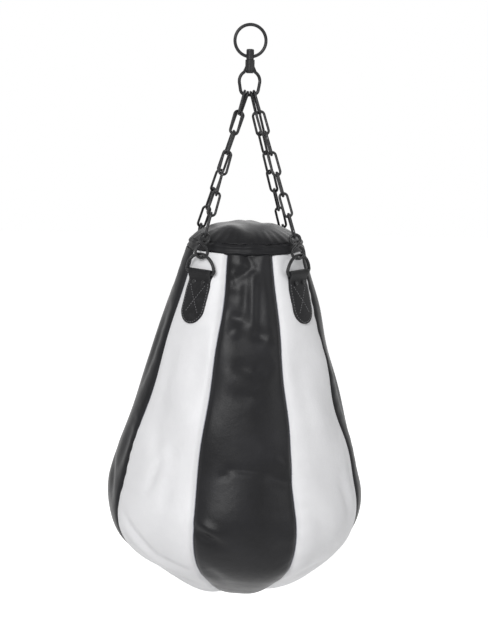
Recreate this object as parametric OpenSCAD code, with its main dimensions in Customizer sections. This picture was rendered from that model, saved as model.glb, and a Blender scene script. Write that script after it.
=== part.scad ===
// Teardrop punching bag on a four-chain sling with swivel and hanging ring.
// Millimetres, +Z up. The origin is where the user's hook touches the inside of the top ring.
// The front is the middle of the front black panel, facing -Y.

/* [Bag] */
// Largest diameter, at the belly
bag_d = 420; // [340:5:500]
// Height from the panels' top edge to the bottom
bag_h = 574; // [480:2:690]
// Diameter at the panels' top edge
bag_top_d = 185; // [170:5:220]
// Height of the widest ring above the bottom
belly_h = 166; // [140:2:200]
// Radius of the belly's curve
belly_r = 110; // [100:5:150]
// Radius of the bottom's round nose
nose_r = 200; // [160:5:240]
// Thickness of the outer vinyl panels
panel_t = 2; // [1:0.5:4]
// Thickness of the inner liner
liner_t = 2.5; // [1:0.5:6]
// Radius of the patch that closes the panels' points at the bottom
patch_r = 30; // [20:1:45]
// Thickness of the bottom patch
patch_t = 2; // [1:0.5:4]

/* [Collar and lid] */
// Height of the collar band
collar_h = 15; // [10:1:30]
// Thickness of the collar band
collar_t = 3; // [2:0.5:5]
// How far the collar stands out from the panels below it
collar_lip = 1.5; // [0.5:0.5:3]
// How much the collar narrows from its lower to its upper edge
collar_lean = 4.5; // [0:0.5:8]
// Height of the lid's dome above the collar
lid_h = 26; // [10:1:40]
// Thickness of the lid
lid_t = 2; // [1:0.5:4]

/* [Ring, swivel and bail] */
// Inside diameter of the top ring
ring_in_d = 43; // [40:1:60]
// Wire of the top ring
ring_wire = 5; // [4:0.5:5.5]
// Diameter of the swivel pin's barrel
pin_d = 12; // [11:0.5:14]
// Diameter of the swivel pin's shank
shank_d = 8; // [6:0.5:8]
// Height of the barrel above the middle of the ring's wire
pin_rise = 11.5; // [9:0.5:15]
// Height of the riveted head under the bail's boss
head_h = 2.7; // [2:0.1:4]
// Thickness of the thrust washer
washer_t = 0.9; // [0.5:0.1:2]
// How far the bail's boss stands out from the pin's barrel
boss_wall = 1.3; // [1.2:0.1:3]
// Height of the bail's boss
boss_h = 16.4; // [12:0.2:22]
// Inside width of the bail's loop
bail_in_w = 27; // [27:0.5:36]
// Inside height of the bail's loop
bail_in_h = 32; // [30:0.5:42]
// Wire of the bail
bail_wire = 5; // [4:0.5:6]
// Bend radius at the bail's two lower corners, to the middle of the wire
bail_corner_r = 9; // [7:0.5:10]
// Inward lean of the bail's two sides, in degrees
bail_lean = 10; // [0:1:12]

/* [Chains] */
// Wire of a chain link
link_wire = 4; // [3:0.5:4.5]
// Inside length of a chain link
link_in_l = 33.8; // [28:0.2:40]
// Outside width of a chain link
link_w = 16; // [14:0.5:18]
// Gap between the two rear chains' top links, on the bail's bar
rear_gap = 3.2; // [2:0.2:6]
// Gap between a rear and a front chain's top links
side_gap = 0.6; // [0.5:0.1:1.5]
// Quarter turn of each rear chain, spread over its links
rear_twist = 90; // [0:5:90]

/* [S-hooks and D-rings] */
// Wire of an S-hook
hook_wire = 4.5; // [4:0.5:5]
// Length of an S-hook between the two insides of its eyes
hook_in_l = 33; // [31:0.5:36]
// Outside width of an S-hook's upper eye
hook_top_w = 19.5; // [18:0.5:20]
// Outside width of an S-hook's lower eye
hook_low_w = 23; // [22:0.5:24]
// How far an S-hook's upper end hangs out from the panels' top edge
hook_out = 4.5; // [3:0.5:8]
// Turn of an S-hook out of its D-ring's plane
hook_turn = 50; // [45:1:55]
// Wire of a D-ring
d_wire = 5; // [4:0.5:5.5]
// Inside width of a D-ring
d_in_w = 50; // [44:1:56]
// Inside height of a D-ring
d_in_h = 24; // [22:0.5:28]
// Bend radius at a D-ring's corners, to the middle of the wire
d_corner_r = 5.5; // [4:0.5:7]
// Drop of a D-ring's bar below the panels' top edge
d_drop = 30.5; // [26:0.5:40]

/* [Tabs] */
// Width of a tab
tab_w = 46; // [36:1:48]
// Length of a tab below its D-ring's bar
tab_l = 80; // [60:1:110]
// Thickness of the tab's leather
tab_t = 2.2; // [1.5:0.1:3]
// Diameter of a rivet's head
rivet_d = 7; // [6:0.5:9]
// Drop of the rivets below the D-ring's bar
rivet_drop = 14; // [12:1:20]
// Spacing of the two rivets on a tab
rivet_gap = 18; // [12:1:24]

/* [Hidden] */
$fn = 72;
hull_fn = 32;
panel_n = 8;
link_n = 7;
panel_a = 360 / panel_n;
fit = 0.05;             // running fit, on the radius
play = 0.15;            // play where one wire hangs in another
bow_play = 0.7;         // the same where a D-ring's bow crosses an S-hook's lower eye
skin_gap = 0.1;         // between curved layers of the bag
rest_gap = 0.3;         // between a soft piece and hardware that may touch it
head_gap = 0.8;         // round the pin's head, inside the bail
eye_land = 0.9;         // metal between the pin's cross hole and its shoulder
boss_gap = 0.4;         // between the pin's shoulder and the bail's boss
bore_gap = 0.2;         // between a D-ring's bar and the tab folded round it
hole_r = 8;             // the panels' points stop this far from the axis
trim = 0.2;             // a wire stops this far short of a beaded joint
bead_extra = 0.2;       // a bead's diameter over its wire's
belly_steps = 8;        // straight steps along the belly's arc
nose_steps = 18;        // along the nose's arc, short enough to keep the layers apart

// Meridian of the bag, with z = 0 at the panels' top edge: a straight flank, the belly's arc,
// a straight cone and the nose's arc, each tangent to the next
top_r = bag_top_d / 2;
belly_c = [bag_d / 2 - belly_r, belly_h - bag_h];
nose_c = [0, nose_r - bag_h];
to_belly = belly_c - [top_r, 0];
to_nose = nose_c - belly_c;
flank_a = atan2(to_belly.y, to_belly.x) + asin(belly_r / norm(to_belly)) + 90;
cone_turn = atan2(to_nose.y, to_nose.x) + acos((belly_r - nose_r) / norm(to_nose));
cone_a = cone_turn > 180 ? cone_turn - 360 : cone_turn;

// Levels from the top ring down
ring_r = (ring_in_d + ring_wire) / 2;
ring_z = -ring_in_d / 2;
wire_z = ring_z - ring_r;
eye_r = ring_wire / 2 + 1;
eye_z = wire_z + ring_r - sqrt(pow(ring_r, 2) - pow(pin_d / 2, 2)) + play + ring_wire / 2 - eye_r;
shoulder_z = eye_z - eye_r - eye_land;
boss_d = pin_d + 2 * boss_wall;
boss_z = shoulder_z - boss_gap;
boss_low_z = boss_z - boss_h;
head_z = boss_low_z - fit - washer_t;
bail_r = (bail_in_w + bail_wire) / 2;
bail_top_z = boss_low_z - 2;
bail_arc_z = bail_top_z - bail_in_w / 2;
bail_bar_z = bail_top_z - bail_in_h - bail_wire / 2;
bail_corner_z = bail_bar_z + bail_corner_r;
side_top = [bail_r * cos(bail_lean), bail_arc_z - bail_r * sin(bail_lean)];
side_low_z = bail_corner_z - bail_corner_r * sin(bail_lean);
side_low = [side_top.x - (side_top.y - side_low_z) * tan(bail_lean), side_low_z];
bail_corner_x = side_low.x - bail_corner_r * cos(bail_lean);
hang = bail_wire / 2 + play;

// How far the bail's wire has risen from its straight bar at a given x
function bail_rise(x) =
    bail_corner_r - sqrt(pow(bail_corner_r, 2) - pow(max(0, x - bail_corner_x), 2));

// The four slings: from the bail's bar over seven links, an S-hook and a D-ring to a tab
CORNERS = [-135, -45, 135, 45];
inner_x = (link_wire + rear_gap) / 2;
outer_x = inner_x + link_wire + side_gap;
bore_r = d_wire / 2 + bore_gap;
bar_off = skin_gap + tab_t + bore_r;
bar_r = top_r + d_drop * tan(flank_a) + bar_off / cos(flank_a);
hook_r = top_r + hook_out;
link_step = link_in_l - 2 * play;
chain_l = link_n * link_step;
hook_x = hook_r * cos(45);
hook_z = bail_bar_z - sqrt(pow(chain_l - hang, 2) - pow(hook_x, 2) - pow(hook_x - inner_x, 2));
hook_lean = asin((bar_r - hook_r) / hook_in_l);
d_top_z = hook_z - hook_in_l * cos(hook_lean) + bow_play;
bar_z = d_top_z - d_in_h - d_wire / 2;
bag_z = bar_z + d_drop;

METAL = "#202022";
BLACK = "#1b1b1d";
WHITE = "#e9e9eb";
FELT = "#8f8f8a";
RAGS = "#7d766c";

// Points along an arc about c, from angle a to angle b in n steps
function arc(c, r, a, b, n) =
    [for (i = [0:n]) c + r * [cos(a + (b - a) * i / n), sin(a + (b - a) * i / n)]];

function flipped(points) = [for (i = [len(points) - 1:-1:0]) points[i]];

// The bag's meridian moved inwards by inset, down to the angle at which it stops on the nose
function outline(inset, end_a) = concat(
    [[top_r - inset / cos(flank_a), 0]],
    arc(belly_c, belly_r - inset, flank_a, cone_a, belly_steps),
    arc(nose_c, nose_r - inset, cone_a, end_a, nose_steps));

// The angle at which an arc of radius r about the nose is x from the axis
function nose_end(r, x) = -acos(x / r);

// The lid's dome, moved inwards by inset, from its foot to the axis
lid_r = top_r + collar_lip - collar_lean - collar_t - skin_gap;
function dome(inset) =
    [for (i = [0:9]) [(lid_r - inset) * cos(10 * i), collar_h + (lid_h - inset) * sin(10 * i)]];

// The angle that the trim takes off a bend's end
function trim_a(r) = trim / r * 180 / PI;

// A bead over a joint whose two wires stop short of each other: lean is the wires' from upright
module bead(at, d, lean = 0) {
    translate([at.x, 0, at.y]) rotate([0, lean, 0]) sphere(d = d + bead_extra);
}

// A wire bent round the Y axis, from angle a to angle b, with its middle at radius r
module bend(r, d, a, b) {
    rotate([90, 0, 0]) rotate([0, 0, a]) rotate_extrude(angle = b - a)
        translate([r, 0]) circle(d = d);
}

// A straight wire from p to q in the XZ plane
module rod(p, q, d) {
    run = q - p;
    translate([p.x, 0, p.y]) rotate([0, atan2(run.x, run.y), 0]) cylinder(d = d, h = norm(run));
}

// A link in the XZ plane, hanging from its inner top at the origin
module link() {
    bend_r = (link_w - link_wire) / 2;
    top = link_wire / 2 - bend_r;
    low = -link_in_l - top;
    translate([0, 0, top]) bend(bend_r, link_wire, 0, 180);
    translate([0, 0, low]) bend(bend_r, link_wire, 180, 360);
    for (side = [-1, 1]) rod([side * bend_r, low], [side * bend_r, top], link_wire);
}

// Link number k of the sling at a corner: link 1 hangs edge-on to the bail's bar
module sling_link(corner, k) {
    a = CORNERS[corner];
    rear = a > 0;
    x = rear ? inner_x : outer_x;
    hook = [hook_r * cos(a), hook_r * sin(a), hook_z];
    bar = [sign(cos(a)) * x, 0, bail_bar_z + bail_rise(x + link_wire / 2)];
    start = bar - (hook - bar) * hang / norm(hook - bar);
    run = hook - start;
    heading = atan2(run.y, run.x);
    lean = atan2(norm([run.x, run.y]), -run.z);
    twist = rear ? sign(cos(a)) * rear_twist / (link_n - 1) : 0;
    color(METAL) translate(start) rotate([0, 0, heading]) rotate([0, -lean, 0])
        translate([0, 0, -norm(run) * (k - 1) / link_n])
            rotate([0, 0, -heading - 90 + (k - 1) * (90 + twist)]) link();
}

// An S-hook in the XZ plane: its upper eye hangs from the origin
module s_hook() {
    up_r = (hook_top_w - hook_wire) / 2;
    low_r = (hook_low_w - hook_wire) / 2;
    up = [0, hook_wire / 2 - up_r];
    low = [0, low_r - hook_wire / 2 - hook_in_l];
    cross_a = asin((up_r + low_r) / (up.y - low.y));
    across = [cos(cross_a), -sin(cross_a)];
    closed = hook_wire + rest_gap;
    up_joint = up + up_r * across;
    low_joint = low - low_r * across;
    step = (low_joint - up_joint) * trim / norm(low_joint - up_joint);
    translate([0, 0, up.y])
        bend(up_r, hook_wire, trim_a(up_r) - cross_a, 360 - cross_a - acos(1 - closed / up_r));
    translate([0, 0, low.y])
        bend(low_r, hook_wire, 180 - cross_a + trim_a(low_r), 540 - cross_a - acos(1 - closed / low_r));
    rod(up_joint + step, low_joint - step, hook_wire);
    bead(up_joint, hook_wire);
    bead(low_joint, hook_wire);
}

// Front S-hooks face the front; the rear ones stand edge-on to it, as their twisted chains need
module placed_s_hook(corner) {
    a = CORNERS[corner];
    color(METAL) rotate([0, 0, a]) translate([hook_r, 0, hook_z]) rotate([0, -hook_lean, 0])
        rotate([0, 0, 90 - sign(cos(a)) * hook_turn]) mirror([cos(a) > 0 ? 0 : 1, 0, 0]) s_hook();
}

// A D-ring in the YZ plane, with the middle of its bar at the origin
module d_ring() {
    half = (d_in_w + d_wire) / 2 - d_corner_r;
    rise = d_in_h + d_wire;
    arc_z = (pow(rise - d_corner_r, 2) - pow(half, 2) - pow(d_corner_r, 2))
        / (2 * (rise - 2 * d_corner_r));
    meet_a = atan2(d_corner_r - arc_z, half);
    joint = [0, arc_z] + (rise - arc_z) * [cos(meet_a), sin(meet_a)];
    corner_a = meet_a - trim_a(d_corner_r);
    arc_a = meet_a + trim_a(rise - arc_z);
    low_a = trim_a(d_corner_r) - 90;
    rotate([0, 0, 90]) {
        rod([trim - half, 0], [half - trim, 0], d_wire);
        translate([0, 0, arc_z]) bend(rise - arc_z, d_wire, arc_a, 180 - arc_a);
        for (side = [-1, 1]) mirror([side < 0 ? 1 : 0, 0, 0]) {
            translate([half, 0, d_corner_r]) bend(d_corner_r, d_wire, low_a, corner_a);
            bead([half, 0], d_wire, 90);
            bead(joint, d_wire);
        }
    }
}

module placed_d_ring(corner) {
    color(METAL) rotate([0, 0, CORNERS[corner]]) translate([bar_r, 0, bar_z]) d_ring();
}

// Puts children on the flank below a D-ring's bar: +X stands off the flank, +Z runs up it
module on_flank(corner) {
    rotate([0, 0, CORNERS[corner]]) translate([bar_r, 0, bar_z]) rotate([0, -flank_a, 0])
        children();
}

// The two rivets of a tab, just below its fold
module at_rivets() {
    for (side = [-1, 1])
        translate([-bar_off, side * rivet_gap / 2, -rivet_drop]) rotate([0, 90, 0]) children();
}

// A tab: a leather strap folded round the bar, both legs sewn down on the flank
module tab(corner) {
    leg_top = 8;
    color(BLACK) difference() {
        union() {
            intersection() {
                translate([0, 0, bag_z]) rotate_extrude() polygon(concat(
                    outline(-skin_gap, cone_a), flipped(outline(-skin_gap - 2 * tab_t, cone_a))));
                on_flank(corner) rotate([90, 0, 90]) linear_extrude(60, center = true)
                    translate([0, -tab_l + tab_w / 2]) {
                        circle(d = tab_w);
                        translate([-tab_w / 2, 0]) square([tab_w, tab_l - tab_w / 2 - leg_top]);
                    }
            }
            on_flank(corner) hull() {
                rotate([90, 0, 0])
                    cylinder(r = bore_r + tab_t, h = tab_w, center = true, $fn = hull_fn);
                translate([-bar_off + skin_gap, -tab_w / 2, -leg_top - 2])
                    cube([2 * tab_t, tab_w, 2]);
            }
        }
        on_flank(corner) {
            rotate([90, 0, 0]) cylinder(r = bore_r, h = tab_w + 2, center = true);
            at_rivets() translate([0, 0, -3]) cylinder(r = rivet_d / 4 + fit, h = 12);
        }
    }
}

// Rivets through the tabs: a shank in the leather and a low round head on it
module tab_rivets() {
    head_low = skin_gap + 2 * tab_t + fit;
    color(METAL) for (corner = [0:3]) on_flank(corner) at_rivets() {
        translate([0, 0, skin_gap + rest_gap]) cylinder(r = rivet_d / 4, h = head_low);
        translate([0, 0, head_low]) cylinder(d = rivet_d, h = 0.7);
        translate([0, 0, head_low + 0.7]) cylinder(d1 = rivet_d, d2 = rivet_d - 2, h = 0.6);
    }
}

// Panel number i, counted anticlockwise from the front as seen from above
module panel(i) {
    color(i % 2 == 0 ? BLACK : WHITE) translate([0, 0, bag_z])
        rotate([0, 0, -90 + (i - 0.5) * panel_a]) rotate_extrude(angle = panel_a)
            polygon(concat(outline(0, nose_end(nose_r, hole_r)),
                flipped(outline(panel_t, nose_end(nose_r - panel_t, hole_r)))));
}

// The band sewn over the panels' top edges and the lid's rim
module collar_band() {
    low_r = top_r + collar_lip;
    color(BLACK) translate([0, 0, bag_z]) rotate_extrude() polygon([
        [low_r, 0], [low_r - collar_lean, collar_h],
        [low_r - collar_lean - collar_t, collar_h], [low_r - collar_t, 0]]);
}

// The domed lid, with a short rim that stands inside the collar
module lid() {
    rim = [[lid_r, 2], [lid_r - lid_t, 2]];
    color(BLACK) translate([0, 0, bag_z]) rotate_extrude() polygon(concat(
        [rim[0]], dome(0), flipped(dome(lid_t)), [rim[1]]));
}

// The round patch over the points of the eight panels
module bottom_patch() {
    in_r = nose_r + skin_gap;
    out_r = in_r + patch_t;
    color(BLACK) translate([0, 0, bag_z]) rotate_extrude() polygon(concat(
        arc(nose_c, out_r, nose_end(out_r, patch_r), -90, 3),
        arc(nose_c, in_r, -90, nose_end(in_r, patch_r - 0.5), 3)));
}

// The felt liner between the panels and the filling
module inner_liner() {
    out = panel_t + skin_gap;
    color(FELT) translate([0, 0, bag_z]) rotate_extrude() polygon(concat(
        outline(out, -90), flipped(outline(out + liner_t, -90))));
}

// The packed rags, domed under the lid
module filling() {
    out = panel_t + liner_t + 2 * skin_gap;
    color(RAGS) translate([0, 0, bag_z]) rotate_extrude() polygon(concat(
        flipped(dome(lid_t + skin_gap)), [[lid_r - lid_t - skin_gap, 0]], outline(out, -90)));
}

module top_ring() {
    color(METAL) translate([0, 0, ring_z]) rotate([90, 0, 0]) rotate_extrude()
        translate([ring_r, 0]) circle(d = ring_wire);
}

// The swivel pin: a barrel with the ring's cross hole, a shank and a riveted head
module swivel_pin() {
    r = pin_d / 2;
    top = wire_z + pin_rise;
    edge = 2;
    color(METAL) difference() {
        rotate_extrude() polygon(concat(
            [[0, shoulder_z], [0, top]], arc([r - edge, top - edge], edge, 90, 0, 4),
            [[r, shoulder_z]]));
        translate([0, 0, eye_z]) rotate([0, 90, 0]) cylinder(r = eye_r, h = pin_d + 2, center = true);
    }
    color(METAL) translate([0, 0, head_z]) cylinder(d = shank_d, h = shoulder_z - head_z);
    color(METAL) translate([0, 0, head_z - head_h + 1]) cylinder(r = r, h = head_h - 1);
    color(METAL) translate([0, 0, head_z - head_h]) cylinder(r1 = r - 1, r2 = r, h = 1);
}

module thrust_washer() {
    color(METAL) translate([0, 0, head_z]) difference() {
        cylinder(d = pin_d + 1, h = washer_t);
        translate([0, 0, -1]) cylinder(r = shank_d / 2 + fit, h = washer_t + 2);
    }
}

// The bail: a bored boss over a wire loop with leaning sides and a straight lower bar
module bail() {
    flare_h = 14;
    arc_a = trim_a(bail_r) - bail_lean;
    corner_a = -bail_lean - trim_a(bail_corner_r);
    step = (side_low - side_top) * trim / norm(side_low - side_top);
    low_a = trim_a(bail_corner_r) - 90;
    color(METAL) difference() {
        union() {
            translate([0, 0, boss_low_z]) cylinder(d = boss_d, h = boss_h);
            difference() {
                translate([0, 0, boss_low_z - flare_h / 2])
                    cylinder(d1 = bail_in_w, d2 = boss_d, h = flare_h);
                for (side = [-1, 1]) translate([0, side * (bail_wire / 2 + bail_in_w), boss_low_z])
                    cube([2 * bail_in_w, 2 * bail_in_w, 2 * flare_h], center = true);
                translate([0, 0, bail_arc_z]) rotate([90, 0, 0])
                    cylinder(d = bail_in_w + 2, h = bail_wire + 2, center = true);
            }
            translate([0, 0, bail_arc_z]) bend(bail_r, bail_wire, arc_a, 180 - arc_a);
        }
        translate([0, 0, boss_low_z - 1]) cylinder(r = shank_d / 2 + fit, h = boss_h + 2);
        translate([0, 0, bail_arc_z]) cylinder(r = pin_d / 2 + head_gap, h = boss_low_z - bail_arc_z);
    }
    color(METAL) for (side = [-1, 1]) mirror([side < 0 ? 1 : 0, 0, 0]) {
        bead(side_top, bail_wire);
        rod(side_top + step, side_low - step, bail_wire);
        bead(side_low, bail_wire);
        translate([bail_corner_x, 0, bail_corner_z])
            bend(bail_corner_r, bail_wire, low_a, corner_a);
        bead([bail_corner_x, bail_bar_z], bail_wire, 90);
    }
    color(METAL) rod([trim - bail_corner_x, bail_bar_z], [bail_corner_x - trim, bail_bar_z], bail_wire);
}

top_ring();
swivel_pin();
thrust_washer();
bail();
sling_link(0, 1);  // chain_front_left_link_1
sling_link(0, 2);  // chain_front_left_link_2
sling_link(0, 3);  // chain_front_left_link_3
sling_link(0, 4);  // chain_front_left_link_4
sling_link(0, 5);  // chain_front_left_link_5
sling_link(0, 6);  // chain_front_left_link_6
sling_link(0, 7);  // chain_front_left_link_7
sling_link(1, 1);  // chain_front_right_link_1
sling_link(1, 2);  // chain_front_right_link_2
sling_link(1, 3);  // chain_front_right_link_3
sling_link(1, 4);  // chain_front_right_link_4
sling_link(1, 5);  // chain_front_right_link_5
sling_link(1, 6);  // chain_front_right_link_6
sling_link(1, 7);  // chain_front_right_link_7
sling_link(2, 1);  // chain_back_left_link_1
sling_link(2, 2);  // chain_back_left_link_2
sling_link(2, 3);  // chain_back_left_link_3
sling_link(2, 4);  // chain_back_left_link_4
sling_link(2, 5);  // chain_back_left_link_5
sling_link(2, 6);  // chain_back_left_link_6
sling_link(2, 7);  // chain_back_left_link_7
sling_link(3, 1);  // chain_back_right_link_1
sling_link(3, 2);  // chain_back_right_link_2
sling_link(3, 3);  // chain_back_right_link_3
sling_link(3, 4);  // chain_back_right_link_4
sling_link(3, 5);  // chain_back_right_link_5
sling_link(3, 6);  // chain_back_right_link_6
sling_link(3, 7);  // chain_back_right_link_7
placed_s_hook(0);  // s_hook_front_left
placed_s_hook(1);  // s_hook_front_right
placed_s_hook(2);  // s_hook_back_left
placed_s_hook(3);  // s_hook_back_right
placed_d_ring(0);  // d_ring_front_left
placed_d_ring(1);  // d_ring_front_right
placed_d_ring(2);  // d_ring_back_left
placed_d_ring(3);  // d_ring_back_right
tab(0);  // tab_front_left
tab(1);  // tab_front_right
tab(2);  // tab_back_left
tab(3);  // tab_back_right
tab_rivets();
panel(0);  // panel_front_black
panel(1);  // panel_front_right_white
panel(2);  // panel_right_black
panel(3);  // panel_back_right_white
panel(4);  // panel_back_black
panel(5);  // panel_back_left_white
panel(6);  // panel_left_black
panel(7);  // panel_front_left_white
collar_band();
lid();
bottom_patch();
inner_liner();
filling();
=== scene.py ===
from math import atan2, asin, acos, cos, hypot, pi, radians, sin

import bmesh
import bpy
import numpy as np
from mathutils import Matrix, Vector


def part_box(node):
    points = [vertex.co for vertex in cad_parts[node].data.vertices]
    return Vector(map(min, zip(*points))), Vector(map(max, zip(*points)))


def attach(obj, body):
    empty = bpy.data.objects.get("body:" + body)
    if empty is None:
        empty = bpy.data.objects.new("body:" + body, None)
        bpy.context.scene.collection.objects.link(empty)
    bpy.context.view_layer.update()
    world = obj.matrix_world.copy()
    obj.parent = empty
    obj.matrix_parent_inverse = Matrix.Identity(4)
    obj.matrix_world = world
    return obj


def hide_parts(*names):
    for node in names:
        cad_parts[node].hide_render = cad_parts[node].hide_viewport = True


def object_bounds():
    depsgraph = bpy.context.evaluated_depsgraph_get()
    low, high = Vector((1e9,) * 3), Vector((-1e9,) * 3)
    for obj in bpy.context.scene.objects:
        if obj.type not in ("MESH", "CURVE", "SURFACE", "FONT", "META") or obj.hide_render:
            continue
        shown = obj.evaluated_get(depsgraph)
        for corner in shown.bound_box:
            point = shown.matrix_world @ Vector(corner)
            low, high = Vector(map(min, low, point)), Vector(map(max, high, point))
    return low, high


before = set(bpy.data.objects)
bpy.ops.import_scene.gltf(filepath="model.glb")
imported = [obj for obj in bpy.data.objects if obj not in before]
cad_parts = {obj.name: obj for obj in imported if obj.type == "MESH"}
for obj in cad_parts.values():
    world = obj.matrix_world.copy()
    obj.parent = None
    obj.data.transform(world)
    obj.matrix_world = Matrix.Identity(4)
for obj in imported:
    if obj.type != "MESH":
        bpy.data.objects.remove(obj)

cad_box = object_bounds()


# ---- Camera -------------------------------------------------------------------------------
# The viewer stands a little left of the front, with the lens near the height of the chains,
# looks down on the belly and holds the camera slightly turned.

STAND_OFF = 1.56             # from the bag's axis to the lens
BEARING = radians(-5.46)     # of the viewer, from the front towards the right
LENS_Z = -0.142
LOOK_DOWN = radians(10.97)
HELD_TURN = radians(1.39)
LENS, SENSOR = 56.85, 36     # in millimetres, as on a camera's own scale

camera = bpy.data.objects.new("camera", bpy.data.cameras.new("camera"))
bpy.context.collection.objects.link(camera)
camera.data.sensor_fit = "VERTICAL"
camera.data.sensor_height = SENSOR
camera.data.lens = LENS
camera.matrix_world = (
    Matrix.Translation((STAND_OFF * sin(BEARING), -STAND_OFF * cos(BEARING), LENS_Z))
    @ Matrix.Rotation(BEARING, 4, "Z")
    @ Matrix.Rotation(pi / 2 - LOOK_DOWN, 4, "X")
    @ Matrix.Rotation(HELD_TURN, 4, "Z"))
bpy.context.scene.camera = camera
bpy.context.scene.view_settings.view_transform = "Standard"


# ---- Studio -------------------------------------------------------------------------------
# A pale floor under the hanging bag, a white surround, a large soft lamp at the upper left,
# a weaker one at the right and a wide one behind that draws the outline of the black steel.

class Value:
    """A shader socket that takes part in ordinary arithmetic: each operator adds a Math node."""

    def __init__(self, tree, socket):
        self.tree, self.socket = tree, socket

    def math(self, operation, *others):
        """The named Math operation on this socket and others."""
        return self.tree.node("ShaderNodeMath", {"operation": operation},
                              dict(enumerate((self,) + others)))

    def __add__(self, other):
        return self.math("ADD", other)

    def __mul__(self, other):
        return self.math("MULTIPLY", other)

    def __sub__(self, other):
        return self.math("SUBTRACT", other)

    def __truediv__(self, other):
        return self.math("DIVIDE", other)

    def __rsub__(self, other):
        return self * -1 + other

    def above(self, low, high):
        """0 below low, 1 above high, and a straight rise between them."""
        return ((self - low) / (high - low)).math("MINIMUM", 1).math("MAXIMUM", 0)


class Tree:
    """The node tree of one material or world."""

    def __init__(self, owner):
        owner.use_nodes = True
        self.nodes, self.links = owner.node_tree.nodes, owner.node_tree.links
        self.nodes.clear()

    def node(self, kind, settings=None, sockets=None, out=0):
        """Adds a node and gives its output of number out: settings are its properties, sockets
        its inputs by name or number."""
        made = self.nodes.new(kind)
        for key, value in (settings or {}).items():
            setattr(made, key, value)
        for key, value in (sockets or {}).items():
            if isinstance(value, Value):
                self.links.new(value.socket, made.inputs[key])
            else:
                made.inputs[key].default_value = value
        return Value(self, made.outputs[out]) if made.outputs else made

    def mix(self, factor, first, second):
        """A colour that goes from first to second as factor goes from 0 to 1."""
        return self.node("ShaderNodeMix", {"data_type": "RGBA"},
                         {0: factor, 6: first, 7: second}, out=2)

    def place(self):
        """The piece's own coordinates, in metres."""
        return self.node("ShaderNodeTexCoord", out=3)

    def noise(self, size, detail=3.0):
        """Cloudy variation from 0 to 1 whose lumps are about size metres across."""
        return self.node("ShaderNodeTexNoise", None,
                         {"Vector": self.place(), "Scale": 1 / size, "Detail": detail})

    def cells(self, size):
        """Distance to the nearest of scattered points about size metres apart."""
        return self.node("ShaderNodeTexVoronoi", None,
                         {"Vector": self.place(), "Scale": 1 / size})

    def attribute(self, name):
        """A number stored on the piece's points."""
        return self.node("ShaderNodeAttribute", {"attribute_name": name}, out=2)

    def bump(self, height, depth, under=None):
        """A normal bent by height, where height 1 stands depth metres proud."""
        sockets = {"Height": height, "Distance": depth, "Strength": 1.0}
        if under:
            sockets["Normal"] = under
        return self.node("ShaderNodeBump", None, sockets)

    def seen_directly(self):
        """1 for rays from the camera, mirrors and glass, 0 for rays that carry light."""
        path = {name: self.node("ShaderNodeLightPath", out=number)
                for name, number in (("camera", 0), ("glossy", 3), ("glass", 6))}
        return (path["camera"] + path["glossy"] + path["glass"]).math("MINIMUM", 1)


WHITE_SURROUND = (1.0, 1.0, 1.0, 1)
FLOOR_COLOUR = (0.82, 0.82, 0.82, 1)
FLOOR_DROP = 0.45            # from the bag's lowest point to the floor
FLOOR_HALF = 9.0
FLOOR_GLOW = 0.75            # seen directly, so that the lit floor is white and its shadow stays
SURROUND_LIGHT = 0.36        # what the surround sheds on the bag, of the white that is seen
BAG_MIDDLE = (0, 0, -0.6)    # where the lamps point

world = bpy.data.worlds.new("surround")
bpy.context.scene.world = world
sky = Tree(world)
sky_glow = sky.node("ShaderNodeBackground", None, {
    "Color": WHITE_SURROUND,
    "Strength": sky.seen_directly() * (1 - SURROUND_LIGHT) + SURROUND_LIGHT})
sky.node("ShaderNodeOutputWorld", None, {"Surface": sky_glow})

floor_paint = bpy.data.materials.new("pale_floor")
ground = Tree(floor_paint)
ground_glow = ground.node("ShaderNodeEmission", None, {
    "Color": WHITE_SURROUND, "Strength": ground.seen_directly() * FLOOR_GLOW})
ground_matt = ground.node("ShaderNodeBsdfDiffuse", None, {"Color": FLOOR_COLOUR})
ground.node("ShaderNodeOutputMaterial", None, {
    "Surface": ground.node("ShaderNodeAddShader", None, {0: ground_matt, 1: ground_glow})})

floor_z = cad_box[0][2] - FLOOR_DROP
floor_mesh = bpy.data.meshes.new("floor")
floor_mesh.from_pydata([(x * FLOOR_HALF, y * FLOOR_HALF, floor_z)
                        for x, y in ((-1, -1), (1, -1), (1, 1), (-1, 1))], [], [(0, 1, 2, 3)])
floor_mesh.materials.append(floor_paint)
floor = bpy.data.objects.new("floor", floor_mesh)
bpy.context.collection.objects.link(floor)


def lamp(name, at, size, watts):
    """A square soft lamp at a point, turned to face the middle of the bag."""
    light = bpy.data.lights.new(name, "AREA")
    light.shape, light.size, light.energy = "SQUARE", size, watts
    holder = bpy.data.objects.new(name, light)
    bpy.context.collection.objects.link(holder)
    holder.location = at
    to_bag = Vector(BAG_MIDDLE) - holder.location
    holder.rotation_euler = to_bag.to_track_quat("-Z", "Y").to_euler()


lamp("key_lamp", at=(-0.9, -2.2, 0.9), size=1.2, watts=46)
lamp("fill_lamp", at=(1.9, -1.8, -0.1), size=1.2, watts=8)
lamp("rim_lamp", at=(0.4, 2.2, 0.8), size=1.6, watts=16)


# ---- Black steel hardware -----------------------------------------------------------------
# The ring, swivel, bail, chains, S-hooks, D-rings and rivets are bent, welded or turned steel
# with thin black paint. The paint is glossier in patches and rubbed to grey in small spots.

STEEL_PAINT = (0.008, 0.008, 0.009, 1)
STEEL_DUSTY = (0.022, 0.022, 0.024, 1)
STEEL_RUBBED = (0.16, 0.16, 0.165, 1)


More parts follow.
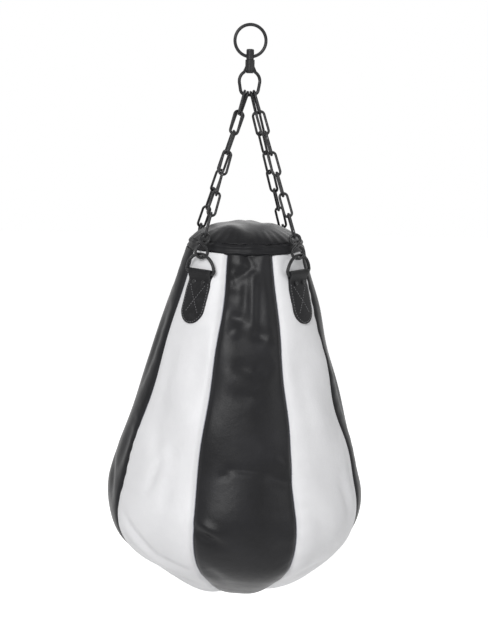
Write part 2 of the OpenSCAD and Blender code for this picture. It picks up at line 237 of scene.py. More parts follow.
def material(name):
    """A new material with its tree, and the function that ends it in one Principled shader."""
    made = bpy.data.materials.new(name)
    tree = Tree(made)

    def finish(**sockets):
        shader = tree.node("ShaderNodeBsdfPrincipled", None,
                           {key.replace("_", " "): value for key, value in sockets.items()})
        tree.node("ShaderNodeOutputMaterial", None, {"Surface": shader})
        return made
    return tree, finish


def black_steel():
    """Black paint over bent steel: dust in clouds, grey rubbed spots, orange-peel bump."""
    tree, finish = material("black_steel")
    dust = tree.noise(0.011, 4).above(0.42, 0.75)
    rubbed = tree.noise(0.0035, 5).above(0.63, 0.72) * tree.noise(0.02).above(0.45, 0.6)
    colour = tree.mix(rubbed, tree.mix(dust, STEEL_PAINT, STEEL_DUSTY), STEEL_RUBBED)
    peel = tree.bump(tree.noise(0.0018, 2), 0.00012)
    return finish(Base_Color=colour, Metallic=rubbed * 0.8, Specular_IOR_Level=0.3,
                  Roughness=tree.noise(0.006) * 0.25 + 0.24, Normal=peel)


steel = black_steel()
CORNERS = ("front_left", "front_right", "back_left", "back_right")
LINKS = 7
hardware = ["top_ring", "swivel_pin", "thrust_washer", "bail", "tab_rivets"]
for corner in CORNERS:
    hardware += [f"chain_{corner}_link_{number}" for number in range(1, LINKS + 1)]
    hardware += [f"s_hook_{corner}", f"d_ring_{corner}"]
for node_name in hardware:
    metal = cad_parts[node_name]
    metal.data.materials.clear()
    metal.data.materials.append(steel)


# ---- Panels -------------------------------------------------------------------------------
# Eight gores of coated vinyl, black and white in turn, sewn face to face along their edges and
# turned, so that each seam is a narrow valley. Packed rags push every gore out between its
# seams, and the skin creases where the filling has settled.

TOP_R = 0.0925               # of the bag at its top edge, under the collar
BELLY_H = 0.166              # of the belly arc's centre, above the bag's bottom
BELLY_R, NOSE_R = 0.110, 0.200
BELLY_STEPS, NOSE_STEPS, EVEN_STEPS = 400, 300, 2000
GORES = 8
GORE_ANGLE = 2 * pi / GORES
panel_low, panel_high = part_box("panel_front_black")
TOP_Z, BOTTOM_Z = panel_high[2], panel_low[2]
MAX_R = cad_box[1][0]


def meridian():
    """Flank line, belly arc, cone line and nose arc, each tangent to the next, as one polyline
    of (r, z) spaced evenly along its length. Gives each point's share of that length, the
    points, their outward normals and the angle at which the flank's line meets the belly."""
    belly = np.array([MAX_R - BELLY_R, BOTTOM_Z + BELLY_H])
    nose = np.array([0.0, BOTTOM_Z + NOSE_R])
    to_belly = belly - (TOP_R, TOP_Z)
    to_nose = nose - belly
    flank = atan2(to_belly[1], to_belly[0]) + asin(BELLY_R / hypot(*to_belly)) + pi / 2
    cone = atan2(to_nose[1], to_nose[0]) + acos((BELLY_R - NOSE_R) / hypot(*to_nose))
    if cone > pi:
        cone -= 2 * pi
    turn = np.linspace(flank, cone, BELLY_STEPS)[:, None]
    end = np.linspace(cone, -pi / 2, NOSE_STEPS)[:, None]
    corners = np.vstack([
        [[TOP_R, TOP_Z]],
        belly + BELLY_R * np.hstack([np.cos(turn), np.sin(turn)]),
        nose + NOSE_R * np.hstack([np.cos(end), np.sin(end)])])
    run = np.concatenate([[0], np.cumsum(np.hypot(*np.diff(corners, axis=0).T))])
    even = np.linspace(0, run[-1], EVEN_STEPS)
    line = np.column_stack([np.interp(even, run, corners[:, k]) for k in (0, 1)])
    slope = np.gradient(line, even, axis=0)
    return even / even[-1], line, np.column_stack([-slope[:, 1], slope[:, 0]]), flank


SHARE, LINE, NORMAL, FLANK = meridian()
LEAN = 0.0085                # of the settled belly, to the left
LEAN_RISE, LEAN_ROUND = 0.62, 1.3    # powers: how high the hump sits, how soft its ends are


def lean_of(height):
    """How far the settled belly hangs to the left at a height above the bottom: a smooth hump
    that is greatest below the middle and dies out at the collar and at the nose."""
    share = np.clip(height / (TOP_Z - BOTTOM_Z), 0, 1)
    return -LEAN * np.sin(pi * share ** LEAN_RISE) ** LEAN_ROUND


# Dents and creases pressed by the filling: bearing in degrees and height in metres of each end,
# then the half width and the depth in metres; a negative depth is a ridge
CREASES = (
    (-7, 0.585, 1, 0.555, 0.007, 0.0042), (1, 0.555, -14, 0.538, 0.008, 0.0034),
    (3, 0.560, 9, 0.590, 0.008, 0.0026), (-3, 0.548, -4, 0.480, 0.009, 0.0024),
    (6, 0.548, 7, 0.455, 0.010, 0.0026), (1.5, 0.545, 2, 0.470, 0.007, -0.0018),
    (-16, 0.485, -4, 0.478, 0.009, 0.0030), (-14, 0.455, -7, 0.470, 0.009, -0.0020),
    (2, 0.462, 13, 0.452, 0.010, 0.0026), (-10, 0.415, 2, 0.405, 0.011, 0.0022),
    (5, 0.400, 16, 0.420, 0.012, 0.0024), (-9, 0.372, 4, 0.366, 0.010, 0.0018),
    (-8, 0.268, 8, 0.262, 0.006, 0.0022), (-8, 0.262, -12, 0.252, 0.006, 0.0016),
    (10, 0.290, 22, 0.262, 0.014, -0.0030), (9, 0.262, 20, 0.240, 0.012, 0.0026),
    (-21, 0.178, -10, 0.158, 0.008, 0.0036), (-21, 0.190, -9, 0.172, 0.008, -0.0026),
    (12, 0.160, 18, 0.120, 0.014, 0.0024), (-17, 0.110, -12, 0.080, 0.012, 0.0022),
    (-44, 0.262, -47, 0.215, 0.008, 0.0040), (-41, 0.268, -34, 0.285, 0.012, 0.0028),
    (-36, 0.250, -37, 0.190, 0.012, 0.0024), (-50, 0.300, -46, 0.262, 0.012, 0.0026),
    (-60, 0.170, -42, 0.112, 0.010, 0.0042), (-42, 0.112, -26, 0.098, 0.010, 0.0036),
    (-58, 0.150, -40, 0.088, 0.010, -0.0022), (-48, 0.082, -27, 0.058, 0.008, 0.0040),
    (-56, 0.066, -20, 0.026, 0.007, 0.0065), (-52, 0.058, -24, 0.030, 0.009, -0.0035),
    (-33, 0.480, -31, 0.360, 0.014, 0.0018), (-55, 0.440, -52, 0.330, 0.015, 0.0022),
    (33, 0.420, 36, 0.300, 0.016, 0.0020), (52, 0.230, 55, 0.150, 0.013, 0.0030),
    (62, 0.260, 64, 0.170, 0.010, 0.0024), (30, 0.200, 40, 0.130, 0.016, 0.0022),
    (46, 0.120, 60, 0.090, 0.012, 0.0028), (33, 0.070, 52, 0.085, 0.012, 0.0026),
    (78, 0.400, 82, 0.280, 0.012, 0.0030), (88, 0.180, 100, 0.120, 0.012, 0.0034),
    (112, 0.480, 118, 0.360, 0.014, 0.0026), (124, 0.250, 140, 0.200, 0.011, 0.0034),
    (150, 0.120, 170, 0.090, 0.011, 0.0036), (160, 0.440, 168, 0.330, 0.013, 0.0024),
    (178, 0.560, 186, 0.500, 0.010, 0.0032), (196, 0.260, 208, 0.200, 0.012, 0.0034),
    (214, 0.460, 220, 0.360, 0.013, 0.0026), (228, 0.150, 246, 0.110, 0.011, 0.0034),
    (258, 0.420, 262, 0.300, 0.012, 0.0028), (270, 0.230, 284, 0.180, 0.012, 0.0032),
    (-78, 0.480, -80, 0.360, 0.010, 0.0026), (-72, 0.300, -76, 0.220, 0.012, 0.0030),
)
CREASE_GAIN = 1.35
CREASE_END = 0.12            # of half a wave: how far a crease has begun at its very end
SEAM_DEPTH, SEAM_W = 0.0030, 0.0045
SEAM_WAVES = ((radians(0.7), 17, 2.1), (radians(0.4), 41, 1))    # swing, pitch and shift per seam
CROWN, CROWN_REACH = 0.0035, 0.03
CROWN_SINK = 0.4             # of the crown, taken off everywhere to keep near the teardrop
POLE_R = 0.06                # nearer the axis than this, all but the placed creases fades away
PUCKER_PITCH, PUCKER_DEPTH, PUCKER_REACH = 0.023, 0.0006, 0.020
PUCKER_FROM = 0.006          # from the seam, where a pucker has its full height
LUMPS, LUMP_H = 26, 0.0014


def seam_wander(seam, height):
    """How far a seam strays from its straight gore edge, in radians: two slow waves along it."""
    return sum(swing * np.sin(height * pitch + seam * shift) for swing, pitch, shift in SEAM_WAVES)


def relief(bearing, height, radius, to_seam):
    """How far the skin stands off the plain teardrop: a crown between the seams, a valley and
    short puckers along them, slow lumps of the filling, and the placed creases, each a
    bell-shaped groove about a straight stroke on the unrolled skin. The puckers' pitch drifts
    up and round the bag, and they come in patches."""
    free = np.clip(to_seam / CROWN_REACH, 0, 1)
    seam = np.exp(-(to_seam / SEAM_W) ** 2)
    fade = np.clip(radius / POLE_R, 0, 1)
    out = fade * (CROWN * free * (2 - free) - SEAM_DEPTH * seam - CROWN * CROWN_SINK)
    drift = 3 * np.sin(height * 23) + 2.5 * np.sin(4 * bearing)
    wave = np.sin(2 * pi * height / PUCKER_PITCH + drift)
    patchy = np.clip(np.sin(11 * height + 2.3 * np.sin(5 * bearing) + 4), 0, 1) ** 2
    reach = np.exp(-to_seam / PUCKER_REACH) * np.clip(to_seam / PUCKER_FROM, 0, 1)
    out += fade * PUCKER_DEPTH * reach * patchy * wave
    dice = np.random.default_rng(7)
    for _ in range(LUMPS):
        turns, climb, start = dice.integers(1, 11), dice.uniform(-55, 55), dice.uniform(0, 2 * pi)
        out += fade * LUMP_H / 3 * np.sin(turns * bearing + climb * height + start)
    for from_a, from_h, to_a, to_h, half, depth in CREASES:
        side = radians(1) * ((np.degrees(bearing) - from_a + 180) % 360 - 180) * radius
        run = np.array([radians(to_a - from_a) * radius, np.full_like(radius, to_h - from_h)])
        along = (side * run[0] + (height - from_h) * run[1]) / (run[0] ** 2 + run[1] ** 2)
        along = np.clip(along, 0, 1)
        away = np.hypot(side - along * run[0], height - from_h - along * run[1])
        fullness = np.sin(pi * (CREASE_END + (1 - 2 * CREASE_END) * along))
        out -= CREASE_GAIN * depth * np.exp(-(away / half) ** 2) * fullness
    return out


def on_bag(bearing, share, off=0.0, plain=False, to_seam=None):
    """Points of the skin at a bearing and a share of the meridian's length, off metres proud.
    A plain skin has no relief; any other needs its distance to the nearest seam."""
    r, z = np.interp(share, SHARE, LINE[:, 0]), np.interp(share, SHARE, LINE[:, 1])
    nr, nz = np.interp(share, SHARE, NORMAL[:, 0]), np.interp(share, SHARE, NORMAL[:, 1])
    height = z - BOTTOM_Z
    if not plain:
        off = off + relief(bearing, height, r, to_seam)
    lean = lean_of(height)
    far = r + nr * off
    return np.stack([far * np.sin(bearing) + lean * cos(BEARING),
                     -far * np.cos(bearing) + lean * sin(BEARING), z + nz * off], axis=-1)


def mesh_piece(name, points, faces, paint):
    """A smooth piece of one material from its points and faces."""
    mesh = bpy.data.meshes.new(name)
    mesh.from_pydata(points.reshape(-1, 3).tolist(), [], faces)
    mesh.shade_smooth()
    mesh.materials.append(paint)
    piece = bpy.data.objects.new(name, mesh)
    bpy.context.collection.objects.link(piece)
    return piece


def sheet_mesh(name, points, paint, numbers=None, around=False):
    """A piece from a grid of points [rows down, columns anticlockwise]: each cell is one quad
    that faces outwards. numbers holds one value per point for the material to read, and
    around joins the last column to the first."""
    rows, columns = points.shape[:2]
    index = np.arange(rows * columns).reshape(rows, columns)
    if around:
        index = np.hstack([index, index[:, :1]])
    quads = np.stack([index[:-1, :-1], index[1:, :-1], index[1:, 1:], index[:-1, 1:]], axis=-1)
    piece = mesh_piece(name, points, quads.reshape(-1, 4).tolist(), paint)
    for key, values in (numbers or {}).items():
        layer = piece.data.attributes.new(key, "FLOAT", "POINT")
        layer.data.foreach_set("value", np.ascontiguousarray(values, dtype=np.float32).ravel())
    return piece


def thicken(piece, depth):
    """Gives a sheet its thickness on the inner side, with closed edges."""
    shell = piece.modifiers.new("thickness", "SOLIDIFY")
    shell.thickness, shell.offset = depth, -1
    shell.use_rim = True


def weld(piece):
    """Merges points that lie together, as at a pole, and turns the faces of a closed piece out."""
    work = bmesh.new()
    work.from_mesh(piece.data)
    bmesh.ops.remove_doubles(work, verts=work.verts, dist=1e-6)
    bmesh.ops.recalc_face_normals(work, faces=work.faces)
    work.to_mesh(piece.data)
    work.free()
    piece.data.shade_smooth()


WORN_REACH = 0.009           # from a seam, of the worn band
# The fine line in each seam's valley is painted light: painted shade on the white gores, a painted
# highlight on the black ones.
PAINTED_LINE_SPAN = (0.0004, 0.0011)  # from a seam, where the fine line ends


def vinyl(name, colour, worn, scuff, gloss, shine, painted_line_colour):
    """Coated fabric: pebbled grain in two sizes, hand marks and scuffs, a darker worn band where
    the skin turns into a seam, and a fine line painted into the seam's valley: painted shade on
    white vinyl, a painted highlight on black."""
    tree, finish = material(name)
    grain = tree.cells(0.0016) * 0.6 + tree.noise(0.0009, 2) * 0.4
    soft = tree.noise(0.05, 4)
    marks = tree.noise(0.012, 5).above(0.52, 0.8) * scuff
    near = 1 - tree.attribute("to_seam").above(0.0, WORN_REACH)
    # painted light in the seam's valley, in the colour given: painted shade on white vinyl, a
    # painted highlight on black
    edge = 1 - tree.attribute("to_seam").above(*PAINTED_LINE_SPAN)
    body = tree.mix(marks, tree.mix(soft.above(0.35, 0.7), colour, worn), worn)
    body = tree.mix(near * 0.35, body, worn)
    body = tree.mix(edge, body, painted_line_colour)
    under = tree.bump(tree.noise(0.02, 3), 0.0006)
    return finish(Base_Color=body, Roughness=soft * 0.16 + marks * 0.1 + gloss,
                  Specular_IOR_Level=shine, Normal=tree.bump(grain, 0.00016, under))


BLACK = (0.007, 0.007, 0.008, 1)
BLACK_WORN = (0.013, 0.013, 0.015, 1)
WHITE = (0.80, 0.80, 0.815, 1)
WHITE_WORN = (0.765, 0.765, 0.78, 1)
# Colours of the painted seam line: a pale painted highlight on black vinyl, a grey painted shade on
# white
SEAM_HIGHLIGHT_ON_BLACK = (0.16, 0.17, 0.20, 1)
SEAM_SHADE_ON_WHITE = (0.40, 0.40, 0.43, 1)
VINYL_T = 0.002
ROWS, COLUMNS = 300, 49
GORE_END = 0.9985            # of the meridian, where the gores' tips lie under the bottom patch

black_vinyl = vinyl("black_vinyl", BLACK, BLACK_WORN, 0.5, 0.30, 0.20, SEAM_HIGHLIGHT_ON_BLACK)
white_vinyl = vinyl("white_vinyl", WHITE, WHITE_WORN, 0.35, 0.42, 0.4, SEAM_SHADE_ON_WHITE)
PANELS = ("front_black", "front_right_white", "right_black", "back_right_white",
          "back_black", "back_left_white", "left_black", "front_left_white")
for number, panel_name in enumerate(PANELS):
    share = np.linspace(0, GORE_END, ROWS)[:, None] * np.ones(COLUMNS)
    height = np.interp(share, SHARE, LINE[:, 1]) - BOTTOM_Z
    radius = np.interp(share, SHARE, LINE[:, 0])
    across = np.sin(np.linspace(-pi / 2, pi / 2, COLUMNS)) * 0.5 + 0.5
    left = (number - 0.5) * GORE_ANGLE + seam_wander(number, height)
    right = (number + 0.5) * GORE_ANGLE + seam_wander((number + 1) % GORES, height)
    bearing = left + (right - left) * across
    to_seam = np.minimum(bearing - left, right - bearing) * radius
    gore = sheet_mesh(f"gore_{panel_name}", on_bag(bearing, share, to_seam=to_seam),
                      black_vinyl if number % 2 == 0 else white_vinyl, {"to_seam": to_seam})
    thicken(gore, VINYL_T)
    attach(gore, "bag")
    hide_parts(f"panel_{panel_name}")


# ---- Liner and filling --------------------------------------------------------------------
# Grey felt sewn as a second bag inside the vinyl, and the rags packed into it. Both stand in
# from the skin by more than their solids do, to stay behind the valleys at the seams, and
# neither shows while the bag is closed.

FELT, FELT_WORN = (0.30, 0.30, 0.29, 1), (0.22, 0.22, 0.21, 1)
RAGS, RAGS_DARK = (0.27, 0.24, 0.20, 1), (0.10, 0.13, 0.18, 1)
FELT_FIBRE, RAG_FOLD = 0.0012, 0.004
LINER_IN, LINER_T = 0.0120, 0.0025
FILL_IN, FILL_LUMPS, FILL_WAVES = 0.0160, 0.0015, 12
INNER_ROWS, INNER_COLUMNS = 80, 96
INNER_TOP = 0.004            # of the meridian, where the liner and the filling begin


def fibres(name, colour, dark, size):
    """Felted or crumpled textile: matted fibres at one size over patches of two colours."""
    tree, finish = material(name)
    mat = tree.noise(size, 6)
    patch = tree.noise(size * 12, 2).above(0.4, 0.62)
    return finish(Base_Color=tree.mix(mat * 0.5 + patch * 0.5, colour, dark),
                  Roughness=mat * 0.1 + 0.88, Normal=tree.bump(mat, size * 0.3))


def turned(name, bearing, share, off, paint, lumps=0.0):
    """A surface of revolution inside the skin, with seeded lumps if they have a height."""
    dice = np.random.default_rng(3)
    for _ in range(FILL_WAVES if lumps else 0):
        off = off + lumps / 4 * np.sin(dice.integers(2, 9) * bearing
                                       + dice.uniform(5, 30) * share + dice.uniform(0, 6))
    return sheet_mesh(name, on_bag(bearing, share, off, plain=True), paint, around=True)


ring_bearing = (np.linspace(0, 2 * pi, INNER_COLUMNS, endpoint=False)[None, :]
                * np.ones((INNER_ROWS, 1)))
ring_share = np.linspace(INNER_TOP, 1, INNER_ROWS)[:, None] * np.ones(INNER_COLUMNS)
grey_felt = fibres("grey_felt", FELT, FELT_WORN, FELT_FIBRE)
liner = turned("felt_liner", ring_bearing, ring_share, -LINER_IN, grey_felt)
weld(liner)
if liner.data.polygons[100].normal.dot(liner.data.polygons[100].center) < 0:
    liner.data.flip_normals()
thicken(liner, LINER_T)
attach(liner, "bag")
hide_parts("inner_liner")

textile_rags = fibres("textile_rags", RAGS, RAGS_DARK, RAG_FOLD)
rags = turned("packed_rags", ring_bearing, ring_share, -FILL_IN, textile_rags, FILL_LUMPS)
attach(rags, "bag")
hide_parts("filling")


# ---- Lid ----------------------------------------------------------------------------------
# A disc of black vinyl sewn into the collar and pushed up by the filling into a low dome,
# flat in the middle and dented where the rags lie loose.

LID_R, LID_RISE, COLLAR_H = 0.0865, 0.026, 0.015
LID_ROWS, LID_COLUMNS = 60, 160
LID_FLAT, LID_ROUND = 2.6, 0.85      # powers: how flat the middle is, how round the shoulder
LID_PUCKERS, LID_PUCKER_H = 34, 0.0006
LID_PUCKER_FROM = 0.6        # of the radius, where the puckers begin
LID_WAVES, LID_WAVE_H = 14, 0.0006
FAR_FROM_SEAM = 0.02         # beyond the worn band and the painted seam line of shade and highlight


def no_seam(points):
    """The number that the vinyl reads, for a piece that has no gore seams."""
    return {"to_seam": np.full(points.shape[:2], FAR_FROM_SEAM)}


def lid_points():
    """A superellipse dome, with radial puckers at the rim and seeded waves that crumple the
    middle."""
    far = np.linspace(0, 1, LID_ROWS)[:, None] * np.ones(LID_COLUMNS)
    bearing = (np.linspace(0, 2 * pi, LID_COLUMNS, endpoint=False)[None, :]
               * np.ones((LID_ROWS, 1)))
    rise = LID_RISE * (1 - far ** LID_FLAT) ** LID_ROUND
    near_rim = np.clip((far - LID_PUCKER_FROM) / (1 - LID_PUCKER_FROM), 0, 1)
    rise += LID_PUCKER_H * np.sin(LID_PUCKERS * bearing + 2 * np.sin(3 * bearing)) * near_rim
    dice = np.random.default_rng(11)
    for _ in range(LID_WAVES):
        heading, pitch = dice.uniform(0, 2 * pi), dice.uniform(60, 190)
        flow = far * LID_R * np.cos(bearing - heading) * pitch + dice.uniform(0, 6)
        rise += LID_WAVE_H * np.sin(flow) * (1 - far ** 4)
    z = TOP_Z + COLLAR_H + rise
    return np.stack([far * LID_R * np.sin(bearing), -far * LID_R * np.cos(bearing), z], axis=-1)


plain_vinyl = vinyl("lid_vinyl", BLACK, BLACK_WORN, 0.8, 0.36, 0.16, BLACK)
points = lid_points()
lid = sheet_mesh("lid_cover", points, plain_vinyl, no_seam(points), around=True)
weld(lid)
if lid.data.polygons[len(lid.data.polygons) // 2].normal.z < 0:
    lid.data.flip_normals()
thicken(lid, VINYL_T)
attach(lid, "bag")
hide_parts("lid")


# ---- Collar band --------------------------------------------------------------------------
# A doubled strip of black vinyl that binds the panels' top edges to the lid, topstitched
# along its middle so that it bulges above and below the thread.

COLLAR_ROWS, COLLAR_COLUMNS = 44, 480
COLLAR_T, COLLAR_LIP, COLLAR_LEAN = 0.003, 0.0015, 0.0045
COLLAR_LOW = 0.001           # below the panels' top edge
COLLAR_BULGE = 0.0011
COLLAR_SWAY, COLLAR_TOP_WAVE, COLLAR_LOW_WAVE = 0.0005, 0.0007, 0.0003
COLLAR_WAVES = ((1, 9, 1), (0.6, 17, 0), (0.5, 31, 2))    # strength, waves round the bag, start


def collar_points():
    """A flat loop of band carried round the bag: the outer face bulges twice with a valley
    between at the stitch line, and both edges wave a little."""
    turn = np.linspace(0, 2 * pi, COLLAR_COLUMNS, endpoint=False)[None, :]
    loop = np.linspace(0, 2 * pi, COLLAR_ROWS, endpoint=False)[:, None]
    up = (np.sign(np.cos(loop)) * np.abs(np.cos(loop)) ** 0.5 + 1) / 2
    out = np.sign(np.sin(loop)) * np.abs(np.sin(loop)) ** 0.35
    wave = sum(strength * np.sin(count * turn + start) for strength, count, start in COLLAR_WAVES)
    bulge = COLLAR_BULGE * np.cos(4 * pi * up + pi) * (out > 0)
    far = TOP_R + COLLAR_LIP - COLLAR_LEAN * up - COLLAR_T / 2 + out * COLLAR_T / 2 + bulge
    far = far + COLLAR_SWAY * wave * up
    z = (TOP_Z - COLLAR_LOW + (COLLAR_H + COLLAR_LOW + COLLAR_TOP_WAVE * wave) * up
         + COLLAR_LOW_WAVE * wave * (1 - up))
    bearing = turn + 0 * loop
    return np.stack([far * np.sin(bearing), -far * np.cos(bearing), z], axis=-1)


points = collar_points()
points = np.concatenate([points, points[:1]])
collar = sheet_mesh("collar_strip", points, plain_vinyl, no_seam(points), around=True)
weld(collar)
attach(collar, "bag")
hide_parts("collar_band")


# ---- Bottom patch -------------------------------------------------------------------------
# A small round of black vinyl sewn over the point where the eight gores meet.

PATCH_R, PATCH_T = 0.030, 0.002
PATCH_ROUND, PATCH_HEM = 0.002, 0.0004
PATCH_ROWS, PATCH_COLUMNS = 24, 96
patch_far = np.concatenate([np.linspace(0, PATCH_R, PATCH_ROWS), [PATCH_R + PATCH_HEM]])[:, None]
patch_turn = np.linspace(0, 2 * pi, PATCH_COLUMNS, endpoint=False)[None, :]
patch_lift = PATCH_T * np.clip((PATCH_R - patch_far) / PATCH_ROUND, 0, 1) ** 0.5
patch_z = BOTTOM_Z + NOSE_R - np.sqrt((NOSE_R + patch_lift) ** 2 - patch_far ** 2)
points = np.stack([patch_far * np.sin(patch_turn), patch_far * np.cos(patch_turn),
                   patch_z + 0 * patch_turn], axis=-1)
patch = sheet_mesh("bottom_round", points, plain_vinyl, no_seam(points), around=True)
weld(patch)
if patch.data.polygons[len(patch.data.polygons) // 2].normal.z > 0:
    patch.data.flip_normals()
thicken(patch, PATCH_T)
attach(patch, "bag")
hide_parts("bottom_patch")


# ---- Tabs ---------------------------------------------------------------------------------
# Four straps of thick black leather, each folded round a D-ring's bar, its two legs sewn to
# the flank with a row round the edge and a cross, and riveted below the fold.

TAB_HALF, TAB_L, TAB_T = 0.023, 0.080, 0.0022
TAB_PRESSED = 0.94           # of its thickness, so that the two legs' faces don't coincide
BAR_BORE = 0.0027            # from the bar's axis to the leather
FOLD_LOW = 0.010             # where the two legs have come together below the bar
SKIN_GAP = 0.0001
WRAP_FROM, WRAP_OVER = 0.002, 0.014    # below the bar, where the tab begins to follow the bag
WAIST, WAIST_AT, WAIST_SPAN = 0.09, 0.012, 0.009
LEG_STEPS, FOLD_STEPS, INNER_STEPS, STRAP_STEPS, STRAP_COLUMNS = 60, 30, 50, 170, 33
FOLD_FROM, FOLD_TO = radians(-35), radians(190)
TAB_EDGE_R = 0.0005          # of the rounding along the leather's cut edges
INNER_SHORT = 0.006          # the inner leg ends this much above the outer one
CORNER_BEARING = {"front_left": -45, "front_right": 45, "back_left": -135, "back_right": 135}
BAR_DROP = 0.0305            # from the bag's top edge to the D-rings' bars
THREAD_R, STITCH_L, STITCH_PITCH = 0.00055, 0.0034, 0.0043
THREAD_GAP = 0.0001
SPINDLE_RINGS, SPINDLE_SIDES = 6, 6
LEATHER, LEATHER_WORN = (0.006, 0.006, 0.007, 1), (0.03, 0.03, 0.032, 1)
THREAD = (0.20, 0.20, 0.21, 1)


def on_tab(corner, side, down, off):
    """A point of a tab: side metres across it, down metres along the flank from the bar, off
    metres from the flank. Below the fold it is wrapped round the bag; at the bar it is straight."""
    bearing = radians(CORNER_BEARING[corner])
    foot_r = TOP_R + BAR_DROP * np.tan(FLANK)
    foot_z = TOP_Z - BAR_DROP
    lean = lean_of(foot_z - BOTTOM_Z - down * cos(FLANK))
    far = foot_r + down * sin(FLANK) + off * cos(FLANK)
    z = foot_z - down * cos(FLANK) + off * sin(FLANK)
    bow = np.clip((down - WRAP_FROM) / WRAP_OVER, 0, 1)
    turn = side / far * bow
    out = far * np.cos(turn)
    over = far * np.sin(turn) + side * (1 - bow)
    return np.stack([out * np.sin(bearing) + over * np.cos(bearing) + lean * cos(BEARING) * bow,
                     -out * np.cos(bearing) + over * np.sin(bearing) + lean * sin(BEARING) * bow,
                     z + 0 * side], axis=-1)


def leather():
    """Thick strap leather: fine pores, dry rubbed patches, edges gone grey."""
    tree, finish = material("black_leather")
    pores = tree.cells(0.0011)
    dry = tree.noise(0.008, 5).above(0.5, 0.78)
    rim = tree.attribute("rim").above(0.86, 0.99)
    colour = tree.mix(dry * 0.6, LEATHER, LEATHER_WORN)
    return finish(Base_Color=tree.mix(rim * 0.7, colour, LEATHER_WORN),
                  Roughness=dry * 0.15 + 0.5, Specular_IOR_Level=0.2,
                  Normal=tree.bump(pores, 0.00022))


def thread():
    """Waxed thread: twisted strands as a fine bump, and a slight change of colour."""
    tree, finish = material("waxed_thread")
    twist = tree.noise(0.0006, 2)
    return finish(Base_Color=tree.mix(twist, THREAD, LEATHER_WORN), Roughness=twist * 0.2 + 0.5,
                  Normal=tree.bump(twist, 0.0001))


def strap_line():
    """The strap's path, as (down, off) from the bar's foot: up the outer leg, round the bar and
    down the inner leg, at the middle of the leather."""
    bar_off = SKIN_GAP + TAB_T + BAR_BORE
    outer = np.column_stack([np.linspace(TAB_L, FOLD_LOW, LEG_STEPS),
                             np.full(LEG_STEPS, SKIN_GAP + 1.5 * TAB_T)])
    round_r = BAR_BORE + TAB_T / 2
    turn = np.linspace(FOLD_FROM, FOLD_TO, FOLD_STEPS)
    fold = np.column_stack([-round_r * np.sin(turn), bar_off + round_r * np.cos(turn)])
    inner = np.column_stack([np.linspace(FOLD_LOW, TAB_L - INNER_SHORT, INNER_STEPS),
                             np.full(INNER_STEPS, SKIN_GAP + 0.5 * TAB_T)])
    line = np.vstack([outer, fold, inner])
    run = np.concatenate([[0], np.cumsum(np.hypot(*np.diff(line, axis=0).T))])
    even = np.linspace(0, run[-1], STRAP_STEPS)
    smooth = np.column_stack([np.interp(even, run, line[:, k]) for k in (0, 1)])
    kernel = np.array([0.25, 0.5, 0.25])
    for _ in range(3):
        smooth[1:-1] = np.column_stack([np.convolve(smooth[:, k], kernel, "valid") for k in (0, 1)])
    return smooth


def half_width(down):
    """Half the strap's width: full along the legs, with a slight waist just below the bar and a
    round lower end."""
    end = np.clip(TAB_L - down, 0, TAB_HALF) / TAB_HALF
    round_end = np.sqrt(np.clip(1 - (1 - end) ** 2, 0.0004, 1))
    waist = 1 - WAIST * np.exp(-((down - WAIST_AT) / WAIST_SPAN) ** 2)
    return TAB_HALF * round_end * waist


def stitches(route, heading_out):
    """Short rounded threads laid end to end on a route of points: each is a six-sided spindle,
    as [stitch, ring, side] points."""
    def at_run(distance, values):
        return np.column_stack([np.interp(distance, run, values[:, k]) for k in range(3)])

    step = np.diff(route, axis=0)
    run = np.concatenate([[0], np.cumsum(np.linalg.norm(step, axis=1))])
    starts = np.arange(STITCH_PITCH / 2, run[-1] - STITCH_PITCH / 2, STITCH_PITCH)
    at, ahead = at_run(starts, route), at_run(starts + STITCH_L, route)
    along = (ahead - at) / np.linalg.norm(ahead - at, axis=1)[:, None]
    out = at_run(starts, heading_out)
    aside = np.cross(along, out)
    stations = np.linspace(0, 1, SPINDLE_RINGS)
    fat = THREAD_R * np.sqrt(np.clip(1 - (2 * stations - 1) ** 4, 0.03, 1))
    spin = np.linspace(0, 2 * pi, SPINDLE_SIDES, endpoint=False)
    ring = (np.cos(spin)[None, None, :, None] * aside[:, None, None]
            + np.sin(spin)[None, None, :, None] * out[:, None, None]) * fat[None, :, None, None]
    core = at[:, None] + along[:, None] * (stations * STITCH_L)[None, :, None]
    core = core - out[:, None] * ((2 * stations - 1) ** 2 * THREAD_R)[None, :, None]
    return core[:, :, None] + ring


def thread_mesh(name, groups, paint):
    """One mesh from many spindles: quads round each, and a six-sided cap at both ends."""
    rings = np.concatenate(groups)
    count, stations, sides = rings.shape[:3]
    index = np.arange(count * stations * sides).reshape(count, stations, sides)
    nxt = np.roll(index, -1, axis=2)
    quads = np.stack([index[:, :-1], nxt[:, :-1], nxt[:, 1:], index[:, 1:]], axis=-1).reshape(-1, 4)
    faces = quads.tolist() + index[:, 0, ::-1].tolist() + index[:, -1].tolist()
    piece = mesh_piece(name, rings, faces, paint)
    weld(piece)
    return piece


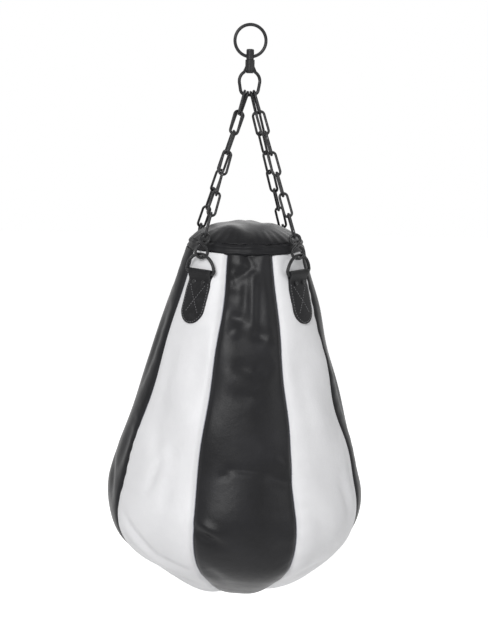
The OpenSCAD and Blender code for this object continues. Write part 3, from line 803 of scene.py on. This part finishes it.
EDGE_INSET = 0.0026          # from the leather's edge to the row of stitches round it
CROSS_HALF, CROSS_TAPER = 0.016, 0.8
CROSS_TOP, CROSS_LOW = FOLD_LOW + 0.008, TAB_L - 0.016
ROW_TOP, ROW_MIN = FOLD_LOW + 0.004, 0.0002
ROW_ROUND = 0.6              # of the inset, by which the row closes in early at the round end
ROW_STEPS, CROSS_STEPS = 120, 50
PROUD = 0.001                # the short distance over which the outward direction is measured


def stitch_routes():
    """The rows of stitches as (side, down) on a tab: one round its edge and the two diagonals
    of a cross, which narrows towards its far end."""
    leg = np.linspace(ROW_TOP, TAB_L - EDGE_INSET, ROW_STEPS)
    reach = np.maximum(half_width(leg + EDGE_INSET * ROW_ROUND) - EDGE_INSET, ROW_MIN)
    edge = np.vstack([np.column_stack([reach, leg]), np.column_stack([-reach, leg])[::-1]])
    diagonals = [np.column_stack([np.linspace(-s, s * CROSS_TAPER, CROSS_STEPS) * CROSS_HALF,
                                  np.linspace(CROSS_TOP, CROSS_LOW, CROSS_STEPS)])
                 for s in (-1, 1)]
    return [edge] + diagonals


strap_leather, waxed_thread = leather(), thread()
path = strap_line()
down, off = path[:, :1], path[:, 1:]
across = np.linspace(-1, 1, STRAP_COLUMNS)[None, :]
side = across * half_width(down)
thread_off = SKIN_GAP + 2 * TAB_T + THREAD_GAP
for corner in CORNERS:
    points = on_tab(corner, side, down + 0 * across, off + 0 * across)
    strap = sheet_mesh(f"strap_{corner}", points, strap_leather,
                       {"rim": np.abs(across) + 0 * down})
    thick = strap.modifiers.new("thickness", "SOLIDIFY")
    thick.thickness, thick.offset = TAB_T * TAB_PRESSED, 0
    soft = strap.modifiers.new("rounded_edges", "BEVEL")
    soft.width, soft.segments, soft.limit_method = TAB_EDGE_R, 2, "ANGLE"
    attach(strap, "bag")
    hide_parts(f"tab_{corner}")

    groups = []
    for route in stitch_routes():
        on = on_tab(corner, route[:, 0], route[:, 1], np.full(len(route), thread_off))
        proud = on_tab(corner, route[:, 0], route[:, 1], np.full(len(route), thread_off + PROUD))
        groups.append(stitches(on, (proud - on) / PROUD))
    seam_thread = thread_mesh(f"stitching_{corner}", groups, waxed_thread)
    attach(seam_thread, "bag")
